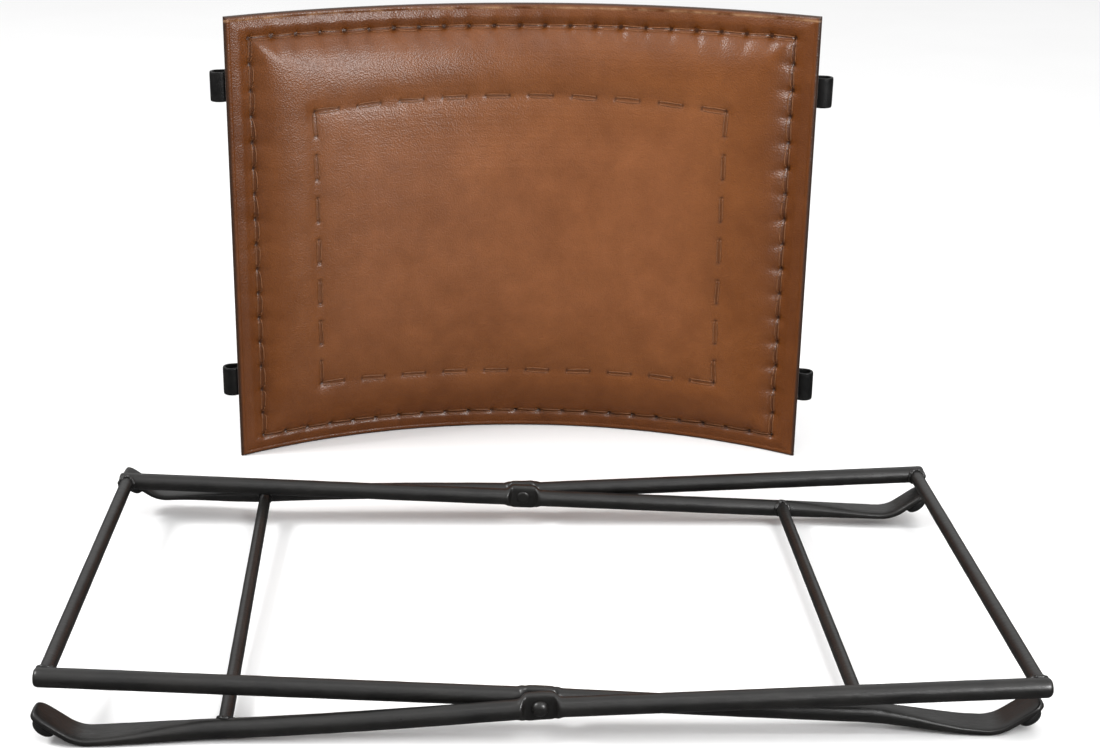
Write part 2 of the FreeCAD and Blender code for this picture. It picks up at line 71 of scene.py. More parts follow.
# Frame, as in the CAD
SIDES = {-1: "near", 1: "far"}
SPREAD_TILT = math.radians(2.6)
LEG_RADIUS = 6.35
BAR_RADIUS = 5.0
STRETCHER_RADIUS = 4.5
BAR_REACH = 308.0
LEG_END = BAR_REACH + LEG_RADIUS
TAPER_START = 200.0
HEEL_REACH = 278.0
FOOT_BEND = math.radians(38.0)
FOOT_BEND_RADIUS = 25.0
PADDLE_LENGTH = 24.0
PADDLE_HALF_WIDTH = 11.0
PADDLE_HALF_THICKNESS = 2.5
PADDLE_ROUND = 9.0
GLIDE_FROM_TIP = 12.0
PADDLE_SQUARENESS = 4.2
BOSS_HALF_HEIGHT = 9.25
BOSS_HALF_THICKNESS = 3.5
BOSS_FLAT_REACH = 8.5
BOSS_FLAT_FADE = 4.0
BOSS_TALL_REACH = 6.5
BOSS_TALL_FADE = 8.5
BOSS_SQUARENESS = 3.7
RING_POINTS = 40

# Sling, as in the CAD
SLING_RADIUS = 413.32
SLING_HALF_ARC = math.radians(34.82) * SLING_RADIUS
LEATHER = 3.0
PAD_DEPTH = 19.0
PAD_SHOULDER = 58.0
HEM_INSETS = (21.0, 19.0, 15.0)
INNER_INSETS = (72.0, 80.5, 57.5)
INNER_BOW = 6.5
STRAP_WIDTH = 24.0
STRAP_HEIGHTS = {
    "upper_left": 316.5,
    "lower_left": 66.0,
    "upper_right": 311.5,
    "lower_right": 61.5,
}
STRAP_THICKNESS = 2.5
LOOP_RADIUS = 5.3
LOOP_SHARE = 0.80
STRAP_LENGTH = 66.0
TONGUE_LENGTH = 52.0
TONGUE_THICKNESS = 2.3
TONGUE_GAP = 0.35
TONGUE_LANDING = 28.0
TONGUE_LEAD = 15.0
TONGUE_RUN_IN = 9.0
SNAP_FROM_EDGE = 40.0
SNAP_SEAT = 0.1
RIVETS_FROM_EDGE = 59.0
RIVET_SPACING = 13.0

joints = {joint["name"]: joint for joint in frame["record"]["behaviour"]["joints"]}
PIVOT = Vector(joints["frame_fold"]["pos_m"])


def middle(node):
    low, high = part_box(node)
    return (low + high) / 2


SLING_HEIGHT = (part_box("sling_front_leather")[1].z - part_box("sling_front_leather")[0].z) / MM
SLING_BACK_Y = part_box("sling_back_leather")[1].y / MM
SLING_CENTRE_Y = SLING_BACK_Y - SLING_RADIUS - LEATHER
SLING_X = middle("sling_back_leather").x


# Small tools


def smooth(value):
    value = min(1.0, max(0.0, value))
    return value * value * (3 - 2 * value)


def mix(a, b, share):
    return a + (b - a) * share


def places_between(start, stop, step):
    return np.arange(start, stop, step).tolist()


def make_object(name, vertices, faces, material, smooth_angle=None):
    mesh = bpy.data.meshes.new(name)
    mesh.from_pydata([tuple(v) for v in vertices], [], faces)
    mesh.validate()
    mesh.update()
    mesh.polygons.foreach_set("use_smooth", [True] * len(mesh.polygons))
    obj = bpy.data.objects.new(name, mesh)
    bpy.context.scene.collection.objects.link(obj)
    obj.data.materials.append(material)
    if smooth_angle is not None:
        mesh.set_sharp_from_angle(angle=math.radians(smooth_angle))
    return obj


def tube_faces(ring_count, points, start=0, closed=False, caps=True):
    """Quads between rings of equally many points, and end caps."""
    faces = []
    for i in range(ring_count if closed else ring_count - 1):
        a = start + i * points
        b = start + (i + 1) % ring_count * points
        for k in range(points):
            after = (k + 1) % points
            faces.append((a + k, a + after, b + after, b + k))
    if caps and not closed:
        faces.append(tuple(start + k for k in reversed(range(points))))
        last = start + (ring_count - 1) * points
        faces.append(tuple(last + k for k in range(points)))
    return faces


def superellipse(power, count=RING_POINTS):
    """Points of a closed curve: power 2 is a circle, 5 a rounded square."""
    points = []
    for k in range(count):
        turn = 2 * math.pi * k / count
        c, s = math.cos(turn), math.sin(turn)
        u = math.copysign(abs(c) ** (2 / power), c)
        v = math.copysign(abs(s) ** (2 / power), s)
        points.append((u, v))
    return points


def forge(point, centre, amount, grain):
    """Moves a point in or out a little, as hammering leaves a surface."""
    out = point - centre
    if out.length == 0:
        return point
    shift = noise.noise(point * grain) + 0.5 * noise.noise(point * grain * 2.7)
    return point + out.normalized() * shift * amount


def lathe(name, profile, origin, axis, material, count=40):
    """A solid of revolution: profile is (radius, height) in millimetres."""
    axis = axis.normalized()
    side = axis.orthogonal().normalized()
    other = axis.cross(side)
    vertices = []
    for radius, height in profile:
        for k in range(count):
            turn = 2 * math.pi * k / count
            spoke = side * math.cos(turn) + other * math.sin(turn)
            vertices.append(origin + spoke * radius * MM + axis * height * MM)
    return make_object(name, vertices, tube_faces(len(profile), count), material, 50)


def join(name, objects):
    """Joins objects of one material into one."""
    bpy.ops.object.select_all(action="DESELECT")
    for obj in objects:
        obj.select_set(True)
    bpy.context.view_layer.objects.active = objects[0]
    bpy.ops.object.join()
    objects[0].name = name
    objects[0].data.name = name
    return objects[0]


def sweep(path, radius, count=8):
    """Vertices and faces of a round tube along a path of points."""
    vertices = []
    for i, point in enumerate(path):
        ahead = path[min(i + 1, len(path) - 1)] - path[max(i - 1, 0)]
        ahead.normalize()
        side = ahead.cross(Vector((0, 0, 1)))
        if side.length < 0.2:
            side = ahead.cross(Vector((1, 0, 0)))
        side.normalize()
        up = ahead.cross(side)
        for k in range(count):
            turn = 2 * math.pi * k / count
            vertices.append(point + (side * math.cos(turn) + up * math.sin(turn)) * radius)
    return vertices, tube_faces(len(path), count)


# Materials


class Shader:
    """A Principled material, and short ways to add nodes to it."""

    def __init__(self, name, **values):
        self.material = bpy.data.materials.new(name)
        self.material.use_nodes = True
        self.tree = self.material.node_tree
        self.base = self.tree.nodes["Principled BSDF"]
        for key, value in values.items():
            self.base.inputs[key.replace("_", " ")].default_value = value
        self.place = self.add("ShaderNodeTexCoord").outputs["Object"]

    def add(self, kind, inputs=None, **settings):
        node = self.tree.nodes.new(kind)
        for key, value in settings.items():
            setattr(node, key, value)
        for key, value in (inputs or {}).items():
            self.give(node.inputs[key], value)
        return node

    def give(self, socket, value):
        if isinstance(value, bpy.types.NodeSocket):
            self.tree.links.new(value, socket)
        else:
            socket.default_value = value

    def put(self, name, value):
        self.give(self.base.inputs[name], value)

    def noise(self, scale, detail=3.0, roughness=0.55, place=None):
        inputs = {"Vector": place or self.place, "Scale": scale, "Detail": detail}
        inputs["Roughness"] = roughness
        return self.add("ShaderNodeTexNoise", inputs).outputs["Fac"]

    def cells(self, scale):
        inputs = {"Vector": self.place, "Scale": scale}
        return self.add("ShaderNodeTexVoronoi", inputs).outputs["Distance"]

    def math(self, operation, a, b=0.0):
        node = self.add("ShaderNodeMath", operation=operation)
        self.give(node.inputs[0], a)
        self.give(node.inputs[1], b)
        return node.outputs[0]

    def ramp(self, value, *stops):
        """Colour or grey stops as (position, value)."""
        node = self.add("ShaderNodeValToRGB", {"Fac": value})
        ramp = node.color_ramp
        while len(ramp.elements) < len(stops):
            ramp.elements.new(0.5)
        for element, (position, colour) in zip(ramp.elements, stops):
            element.position = position
            if isinstance(colour, (int, float)):
                colour = (colour, colour, colour)
            element.color = (*colour, 1)
        return node.outputs["Color"]

    def blend(self, share, a, b, mode="MIX"):
        node = self.add("ShaderNodeMix", data_type="RGBA", blend_type=mode)
        self.give(node.inputs[0], share)
        self.give(node.inputs[6], a if isinstance(a, bpy.types.NodeSocket) else (*a, 1))
        self.give(node.inputs[7], b if isinstance(b, bpy.types.NodeSocket) else (*b, 1))
        return node.outputs[2]

    def attribute(self, name):
        return self.add("ShaderNodeAttribute", attribute_name=name).outputs["Fac"]

    def bump(self, height, strength, distance, after=None):
        inputs = {"Height": height, "Strength": strength, "Distance": distance}
        if after is not None:
            inputs["Normal"] = after
        return self.add("ShaderNodeBump", inputs).outputs["Normal"]


def iron_material():
    """Forged iron, blackened and waxed: near black, satin, slightly uneven."""
    shader = Shader("blackened_iron", IOR=1.5, Specular_IOR_Level=0.5)
    broad = shader.noise(38.0, 4.0)
    scale = shader.noise(420.0, 5.0, 0.65)
    streak = shader.add("ShaderNodeMapping", {"Vector": shader.place, "Scale": (1.0, 6.0, 6.0)})
    drawn = shader.noise(90.0, 4.0, 0.6, streak.outputs[0])
    colour = shader.ramp(broad, (0.3, (0.0050, 0.0048, 0.0046)), (0.7, (0.0115, 0.0105, 0.0095)))
    rubbed = shader.ramp(scale, (0.58, 0.0), (0.8, 0.45))
    colour = shader.blend(rubbed, colour, (0.022, 0.020, 0.018))
    shader.put("Base Color", colour)
    shader.put("Roughness", shader.ramp(drawn, (0.25, 0.27), (0.75, 0.46)))
    dents = shader.bump(broad, 0.45, 0.0012)
    skin = shader.bump(scale, 0.25, 0.0003, dents)
    shader.put("Normal", shader.bump(drawn, 0.3, 0.0005, skin))
    return shader.material


def rubber_material():
    shader = Shader("glide_rubber", IOR=1.45, Specular_IOR_Level=0.25)
    grain = shader.noise(900.0, 3.0)
    shader.put("Base Color", shader.ramp(shader.noise(120.0), (0.3, 0.005), (0.7, 0.010)))
    shader.put("Roughness", shader.ramp(grain, (0.3, 0.55), (0.7, 0.75)))
    shader.put("Normal", shader.bump(grain, 0.2, 0.0002))
    return shader.material


def tan_leather_material():
    """Waxed brown leather: darker and redder towards the edges, paler and greyer in the middle,
    where part of the grey is painted reflection.
    """
    shader = Shader("tan_leather", IOR=1.45, Specular_IOR_Level=0.2)
    shader.put("Coat Weight", 0.85)
    shader.put("Coat Roughness", 0.33)
    shader.put("Coat IOR", 1.42)
    inset = shader.attribute("inset")
    crease = shader.attribute("crease")
    cloud = shader.noise(7.0, 5.0, 0.6)
    mottle = shader.noise(46.0, 6.0, 0.62)
    drift = shader.noise(17.0, 5.0, 0.6)
    pores = shader.cells(760.0)
    fine = shader.noise(1500.0, 2.0)
    wavering = shader.math("ADD", inset, shader.math("MULTIPLY", cloud, 0.4))
    wavering = shader.math("MULTIPLY", wavering, 0.6)
    # colour stops by distance from the edge; the lighter, greyer stops towards the middle hold
    # painted reflection as well as the leather's own tone
    field = shader.ramp(
        wavering,
        (0.15, (0.124, 0.034, 0.0022)),
        (0.30, (0.146, 0.042, 0.0038)),
        (0.52, (0.178, 0.057, 0.0110)),
        (0.84, (0.212, 0.072, 0.0200)),
    )
    tone = shader.ramp(drift, (0.28, (0.82, 0.76, 0.66)), (0.70, (1.08, 1.07, 1.06)))
    field = shader.blend(0.6, field, tone, "MULTIPLY")
    blotch = shader.ramp(mottle, (0.30, (0.78, 0.72, 0.62)), (0.72, (1.12, 1.10, 1.06)))
    field = shader.blend(0.7, field, blotch, "MULTIPLY")
    pit = shader.ramp(pores, (0.05, 0.5), (0.4, 1.05))
    field = shader.blend(0.4, field, pit, "MULTIPLY")
    # painted shade: darkens the stitch holes and the lines along the stitches
    dark = shader.ramp(crease, (0.0, 0.0), (1.0, 0.85))
    field = shader.blend(dark, field, (0.020, 0.006, 0.002))
    edge = shader.ramp(inset, (0.006, 1.0), (0.020, 0.0))
    field = shader.blend(edge, field, (0.034, 0.013, 0.005))
    # a light line along the top rim: partly scuffed wear, partly a painted highlight where the
    # rim catches the light
    rim_patches = shader.ramp(mottle, (0.40, 0.0), (0.62, 1.0))
    scuff_and_highlight = shader.math("MULTIPLY", shader.attribute("scuff_and_highlight"), rim_patches)
    field = shader.blend(scuff_and_highlight, field, (0.40, 0.22, 0.11))
    shader.put("Base Color", field)
    shader.put("Roughness", shader.ramp(mottle, (0.3, 0.34), (0.7, 0.46)))
    wrinkles = shader.bump(mottle, 0.11, 0.0008)
    grain = shader.bump(pores, 0.5, 0.00045, wrinkles)
    grain = shader.bump(fine, 0.2, 0.00015, grain)
    shader.put("Normal", grain)
    shader.put("Coat Normal", shader.bump(pores, 0.42, 0.0004, wrinkles))
    return shader.material


def back_leather_material():
    """The flesh side: matte, fibrous and paler than the front."""
    shader = Shader("back_leather", IOR=1.45, Sheen_Weight=0.25, Sheen_Roughness=0.5)
    inset = shader.attribute("inset")
    fibre = shader.noise(700.0, 6.0, 0.7)
    cloud = shader.noise(14.0, 5.0)
    colour = shader.ramp(cloud, (0.3, (0.125, 0.058, 0.026)), (0.7, (0.185, 0.090, 0.042)))
    colour = shader.blend(shader.ramp(fibre, (0.35, 0.0), (0.7, 0.4)), colour, (0.24, 0.13, 0.07))
    edge = shader.ramp(inset, (0.008, 1.0), (0.03, 0.0))
    shader.put("Base Color", shader.blend(edge, colour, (0.034, 0.013, 0.005)))
    shader.put("Roughness", shader.ramp(fibre, (0.3, 0.7), (0.7, 0.88)))
    shader.put("Normal", shader.bump(fibre, 0.5, 0.0006))
    return shader.material


def strap_leather_material():
    shader = Shader("strap_leather", IOR=1.48, Specular_IOR_Level=0.2)
    pores = shader.cells(950.0)
    mottle = shader.noise(110.0, 5.0)
    colour = shader.ramp(mottle, (0.3, (0.004, 0.004, 0.004)), (0.75, (0.010, 0.0095, 0.009)))
    shader.put("Base Color", colour)
    shader.put("Roughness", shader.ramp(mottle, (0.3, 0.36), (0.7, 0.52)))
    soft = shader.bump(mottle, 0.3, 0.0006)
    shader.put("Normal", shader.bump(pores, 0.4, 0.0004, soft))
    return shader.material


def thread_material():
    """Waxed brown thread, laid with a fine twist."""
    shader = Shader("thread", IOR=1.46)
    twist = shader.noise(2200.0, 2.0)
    patches = shader.noise(160.0)
    colour = shader.ramp(patches, (0.3, (0.155, 0.050, 0.010)), (0.7, (0.245, 0.092, 0.028)))
    # painted shade in the hollows of the twist
    twist_shade = shader.ramp(twist, (0.4, 0.35), (0.6, 0.0))
    shader.put("Base Color", shader.blend(twist_shade, colour, (0.05, 0.02, 0.01)))
    shader.put("Roughness", shader.ramp(twist, (0.3, 0.45), (0.7, 0.6)))
    shader.put("Normal", shader.bump(twist, 0.4, 0.0002))
    return shader.material


def snap_metal_material():
    shader = Shader("snap_metal", Metallic=1.0)
    scratches = shader.noise(600.0, 4.0)
    shader.put("Base Color", shader.ramp(shader.noise(140.0), (0.3, 0.10), (0.7, 0.16)))
    shader.put("Roughness", shader.ramp(scratches, (0.3, 0.24), (0.7, 0.38)))
    shader.put("Normal", shader.bump(scratches, 0.08, 0.0001))
    return shader.material


IRON = iron_material()
RUBBER = rubber_material()
TAN = tan_leather_material()
BACK = back_leather_material()
STRAP = strap_leather_material()
THREAD = thread_material()
SNAP = snap_metal_material()


# Iron frame


class LegShape:
    """How one leg was bent: drops below the straight line where its taper
    starts and at its heel, and how far its foot stands out to the side."""

    def __init__(self, taper_drop, heel_drop, splay=0.0):
        self.taper_drop = taper_drop
        self.heel_drop = heel_drop
        self.splay = splay

    def drop(self, s):
        early = self.taper_drop * math.sin(math.pi / 2 * min(1.0, max(0.0, s) / TAPER_START))
        return early + (self.heel_drop - self.taper_drop) * taper_share(s)


def taper_share(s):
    return smooth((s - TAPER_START) / (HEEL_REACH - TAPER_START))


class Half:
    """One half of the frame, at rest: s along its legs, n square to them.
    Leg shapes and the stretcher's ends, as (s, lift), are by side. partner is
    1 where the other half's legs lie outside this one's, and -1 inside."""

    def __init__(self, name, foot_side, partner, shapes, stretcher_ends):
        self.name = name
        self.body = name + "_frame"
        self.partner = partner
        self.shapes = shapes
        self.leg_y = (PIVOT.y - middle(name + "_leg_near").y) / MM
        self.stretcher = {}
        for side, (s, lift) in stretcher_ends.items():
            self.stretcher[side] = (s, lift - shapes[side].drop(s))
        c, s = math.cos(SPREAD_TILT), math.sin(SPREAD_TILT)
        self.along = Vector((foot_side * c, 0, -s))
        self.normal = Vector((foot_side * s, 0, c))

    def point(self, s, y, n):
        return PIVOT + (self.along * s + Vector((0, y, 0)) + self.normal * n) * MM

    def leg_point(self, side, s, n=None, shift=0.0):
        """A point of a leg's middle line, bent as its shape says."""
        shape = self.shapes[side]
        if n is None:
            n = -shape.drop(s)
        y = side * (self.leg_y + shape.splay * taper_share(s) + self.partner * shift)
        return self.point(s, y, n)

    def turned(self, angle):
        """The leg's direction and its square after it has turned up."""
        c, s = math.cos(angle), math.sin(angle)
        return self.along * c + self.normal * s, self.normal * c - self.along * s


INNER = Half(
    "inner",
    foot_side=1,
    partner=1,
    shapes={-1: LegShape(1.2, 6.7), 1: LegShape(0.0, -0.4)},
    stretcher_ends={-1: (202.0, 1.5), 1: (202.0, 1.5)},
)
OUTER = Half(
    "outer",
    foot_side=-1,
    partner=-1,
    shapes={-1: LegShape(5.6, 6.7), 1: LegShape(-6.5, -8.5, splay=5.0)},
    stretcher_ends={-1: (195.5, 1.5), 1: (202.0, 0.0)},
)


def leg_stations(heel_drop):
    """Places along a leg as (s, n or None, turn, distance from the tip)."""
    places = [-LEG_END + t for t in (0.0, 0.25, 0.8, 1.7, 3.0)]
    places += places_between(-LEG_END + 8, -24.0, 6.0)
    places += places_between(-20.0, 20.5, 1.0)
    places += places_between(25.0, HEEL_REACH, 5.0)
    stations = [(s, None, 0.0, None) for s in places]
    bend_steps = 10
    for k in range(bend_steps + 1):
        angle = FOOT_BEND * k / bend_steps
        s = HEEL_REACH + FOOT_BEND_RADIUS * math.sin(angle)
        n = -heel_drop + FOOT_BEND_RADIUS * (1 - math.cos(angle))
        stations.append((s, n, angle, None))
    last_s, last_n, _, _ = stations[-1]
    for from_tip in (20, 16, 12.5, 9.5, 7.5, 6, 4.6, 3.4, 2.4, 1.6, 0.9, 0.4, 0.12, 0.0):
        run = PADDLE_LENGTH - from_tip
        s = last_s + run * math.cos(FOOT_BEND)
        n = last_n + run * math.sin(FOOT_BEND)
        stations.append((s, n, FOOT_BEND, from_tip))
    return stations


def leg_section(s, from_tip):
    """Half width, half height, squareness and sideways shift at s."""
    thin = 1 - smooth((abs(s) - BOSS_FLAT_REACH) / BOSS_FLAT_FADE)
    tall = 1 - smooth((abs(s) - BOSS_TALL_REACH) / BOSS_TALL_FADE)
    width = mix(LEG_RADIUS, BOSS_HALF_THICKNESS, thin)
    height = mix(LEG_RADIUS, BOSS_HALF_HEIGHT, tall)
    power = mix(2.0, BOSS_SQUARENESS, thin)
    shift = (LEG_RADIUS - BOSS_HALF_THICKNESS) * thin
    share = taper_share(s)
    width = mix(width, PADDLE_HALF_WIDTH, share)
    height = mix(height, PADDLE_HALF_THICKNESS, share)
    power = mix(power, PADDLE_SQUARENESS, share)
    from_end = s + LEG_END
    if from_end < 3:
        closing = math.sqrt(max(0.0, 1 - (1 - from_end / 3) ** 2))
        width *= mix(0.55, 1.0, closing)
        height *= mix(0.55, 1.0, closing)
    if from_tip is not None:
        inside = max(0.0, 1 - (1 - min(from_tip, PADDLE_ROUND) / PADDLE_ROUND) ** 2.4)
        width = PADDLE_HALF_WIDTH * (0.35 + 0.65 * math.sqrt(inside))
        edge = 1 - (1 - min(from_tip, 1.8) / 1.8) ** 2
        height = PADDLE_HALF_THICKNESS * mix(0.5, 1.0, math.sqrt(max(0.0, edge)))
    return width, height, power, shift


def make_leg(half, side, word):
    """A rod hammered flat at the rivet and into a paddle at the foot."""
    vertices = []
    stations = leg_stations(half.shapes[side].heel_drop)
    for s, n, turn, from_tip in stations:
        width, height, power, shift = leg_section(s, from_tip)
        _, upward = half.turned(turn)
        centre = half.leg_point(side, s, n, shift)
        boss = 1 - smooth((abs(s) - 12.0) / 8.0)
        amount = (0.10 + 0.14 * taper_share(s) + 0.08 * boss) * MM
        for u, v in superellipse(power):
            point = centre + Vector((0, u * width * MM, 0)) + upward * v * height * MM
            vertices.append(forge(point, centre, amount, 75.0))
    name = f"{half.name}_leg_{word}_forged"
    leg = make_object(name, vertices, tube_faces(len(stations), RING_POINTS), IRON)
    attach(leg, half.body)
    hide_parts(f"{half.name}_leg_{word}")


def make_cross_bar(half, ends, radius, word):
    vertices = []
    count = 32
    steps = 72
    near, far = (half.point(ends[side][0], side * half.leg_y, ends[side][1]) for side in SIDES)
    for i in range(steps + 1):
        centre = near.lerp(far, i / steps)
        for k in range(count):
            turn = 2 * math.pi * k / count
            spoke = half.along * math.cos(turn) + half.normal * math.sin(turn)
            vertices.append(forge(centre + spoke * radius * MM, centre, 0.07 * MM, 60.0))
    bar = make_object(f"{half.name}_{word}_rod", vertices, tube_faces(steps + 1, count), IRON)
    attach(bar, half.body)
    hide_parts(f"{half.name}_{word}")


def make_welds(half, bars):
    """Rippled weld beads where the cross members meet the legs."""
    count = 60
    beads = []
    for ends, radius in bars:
        for side in SIDES:
            s, n = ends[side]
            leg_n = -half.shapes[side].drop(s)
            path = []
            for k in range(count):
                turn = 2 * math.pi * k / count
                reach = radius + 0.45
                across, up = reach * math.cos(turn), reach * math.sin(turn)
                high = n + up - leg_n
                inside = max(0.0, (LEG_RADIUS + 0.2) ** 2 - high ** 2)
                y = side * (half.leg_y - math.sqrt(inside))
                path.append(half.point(s + across, y, n + up))
            vertices = []
            for k, point in enumerate(path):
                ahead = (path[(k + 1) % count] - path[k - 1]).normalized()
                out = (point - half.point(s, side * half.leg_y, n)).normalized()
                out = (out - ahead * out.dot(ahead)).normalized()
                other = ahead.cross(out)
                ripple = 0.5 + 0.5 * math.sin(2 * math.pi * k * 11 / count)
                size = (1.35 + 0.35 * ripple + 0.5 * noise.noise(point * 300)) * MM
                for j in range(10):
                    a = 2 * math.pi * j / 10
                    vertices.append(point + (out * math.cos(a) + other * math.sin(a)) * size)
            faces = tube_faces(count, 10, closed=True)
            beads.append(make_object("bead", vertices, faces, IRON))
    bead = join(f"{half.name}_welds", beads)
    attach(bead, half.body)
    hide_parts(f"{half.name}_weld_beads")


def make_glides(half):
    profile = (
        (0.5, 1.2), (1.9, 1.2), (2.0, -0.05), (8.9, -0.05), (9.35, -0.2), (9.5, -0.6),
        (9.5, -1.7), (9.35, -2.1), (8.9, -2.3), (8.5, -2.5), (8.45, -3.0), (8.1, -4.2),
        (7.6, -5.4), (7.2, -5.9), (6.5, -6.15), (5.0, -6.2), (0.5, -6.2),
    )
    run = PADDLE_LENGTH - GLIDE_FROM_TIP
    s = HEEL_REACH + FOOT_BEND_RADIUS * math.sin(FOOT_BEND) + run * math.cos(FOOT_BEND)
    n = FOOT_BEND_RADIUS * (1 - math.cos(FOOT_BEND)) + run * math.sin(FOOT_BEND)
    _, upward = half.turned(FOOT_BEND)
    for side, word in SIDES.items():
        centre = half.leg_point(side, s, n - half.shapes[side].heel_drop)
        seat = centre - upward * PADDLE_HALF_THICKNESS * MM
        node = f"{half.name}_glide_{word}"
        glide = lathe(node + "_pad", profile, seat, upward, RUBBER)
        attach(glide, half.body)
        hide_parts(node)


def make_rivet(side, word):
    """A domed head outside, the shank, and the peened tail inside."""
    outer_face = OUTER.leg_y - LEG_RADIUS + 2 * BOSS_HALF_THICKNESS
    inner_face = INNER.leg_y + LEG_RADIUS - 2 * BOSS_HALF_THICKNESS
    grip = outer_face - inner_face
    profile = [(0.4, -grip - 1.0), (3.2, -grip - 1.0), (4.5, -grip - 0.75), (4.9, -grip - 0.3)]
    profile += [(4.85, -grip - 0.05), (3.5, -grip - 0.05), (3.5, -0.1), (4.9, 0.0)]
    profile += [(5.15, 0.25), (5.2, 0.7), (5.0, 1.5), (4.5, 2.4), (3.7, 3.2), (2.7, 3.8)]
    profile += [(1.6, 4.1), (0.4, 4.2)]
    origin = PIVOT + Vector((0, side * outer_face * MM, 0))
    node = f"pivot_rivet_{word}"
    rivet = lathe(node + "_domed", profile, origin, Vector((0, side, 0)), IRON)
    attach(rivet, "outer_frame")
    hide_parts(node)


def make_frame():
    for half in (INNER, OUTER):
        for side, word in SIDES.items():
            make_leg(half, side, word)
        top = {side: (-BAR_REACH, 0.0) for side in SIDES}
        make_cross_bar(half, top, BAR_RADIUS, "top_bar")
        make_cross_bar(half, half.stretcher, STRETCHER_RADIUS, "stretcher")
        make_welds(half, ((top, BAR_RADIUS), (half.stretcher, STRETCHER_RADIUS)))
        make_glides(half)
    for side, word in SIDES.items():
        make_rivet(side, word)


# Sling. u runs along the panel's arc from its middle, w up from its lower
# edge, and d stands forward of the panel's mid surface, all in millimetres.


def sling_point(u, w, d):
    return Vector(sling_points(u, w, d))


def sling_points(u, w, d):
    turn = u / SLING_RADIUS
    reach = SLING_RADIUS - d
    y = SLING_CENTRE_Y + reach * np.cos(turn)
    return np.stack([reach * np.sin(turn) * MM + SLING_X, y * MM, w * MM], axis=-1)


class StitchRow:
    """Stitches along one line of the panel, from corner to corner."""

    def __init__(self, start, end, count, length, bow=0.0):
        self.start = start
        self.end = end
        self.bow = bow
        self.span = math.dist(start, end)
        self.direction = ((end[0] - start[0]) / self.span, (end[1] - start[1]) / self.span)
        step = (self.span - length) / (count - 1)
        self.spans = [(k * step, k * step + length) for k in range(count)]

    def rise(self, along):
        """How far the row bows up from its straight line."""
        return self.bow * (1 - (2 * along / self.span - 1) ** 2)

    def at(self, along, aside=0.0):
        du, dw = self.direction
        u = self.start[0] + du * along - dw * aside
        return u, self.start[1] + dw * along + du * aside + self.rise(along)

    def place(self, u, w):
        """How far along and aside of the row a place of the panel lies."""
        du, dw = self.direction
        x, y = u - self.start[0], w - self.start[1]
        along = x * du + y * dw
        return along, -x * dw + y * du - self.rise(along)


def stitch_rows(insets, across, upright, length, bow=0.0):
    side, top, bottom = insets
    u = SLING_HALF_ARC - side
    low, high = bottom, SLING_HEIGHT - top
    return [
        StitchRow((-u, high), (u, high), across, length, bow),
        StitchRow((u, high), (u, low), upright, length),
        StitchRow((u, low), (-u, low), across, length),
        StitchRow((-u, low), (-u, high), upright, length),
    ]


HEM_ROWS = stitch_rows(HEM_INSETS, 22, 16, 19.5)
INNER_ROWS = stitch_rows(INNER_INSETS, 10, 7, 21.0, INNER_BOW)


def grid_lines(length, spacing):
    """Lines across a length, closer together near its two ends."""
    rim = [0.0, 0.25, 0.7, 1.3, 2.1, 3.0, 3.7, 4.4, 5.1, 6.2]
    inside = length - 2 * rim[-1]
    count = round(inside / spacing)
    lines = list(rim)
    lines += [rim[-1] + inside * k / count for k in range(1, count)]
    lines += [length - r for r in reversed(rim)]
    return np.array(lines)


def smooth_array(value):
    value = np.clip(value, 0, 1)
    return value * value * (3 - 2 * value)


def noise_array(u, w, scale, seed):
    places = zip(u.ravel(), w.ravel())
    values = [noise.noise(Vector((a * scale, b * scale, seed))) for a, b in places]
    return np.array(values).reshape(u.shape)


def pad_depth(u, w):
    """How far the stuffed front stands before the hem, inside its stitches."""
    side = SLING_HALF_ARC - np.abs(u) - HEM_INSETS[0]
    end = np.minimum(SLING_HEIGHT - w - HEM_INSETS[1], w - HEM_INSETS[2])
    a, b = np.maximum(side, 0.01), np.maximum(end, 0.01)
    inside = (a ** -2.6 + b ** -2.6) ** (-1 / 2.6)
    rise = (1 - (1 - np.clip(inside / PAD_SHOULDER, 0, 1)) ** 2.7) ** 0.66
    rise = np.where((side > 0) & (end > 0), rise, 0.0)
    crown = np.cos(u / SLING_HALF_ARC * math.pi / 2) * np.sin(math.pi * w / SLING_HEIGHT)
    return rise * (PAD_DEPTH - LEATHER - 2.5 + 2.6 * crown + 0.8 * noise_array(u, w, 0.016, 3.0))


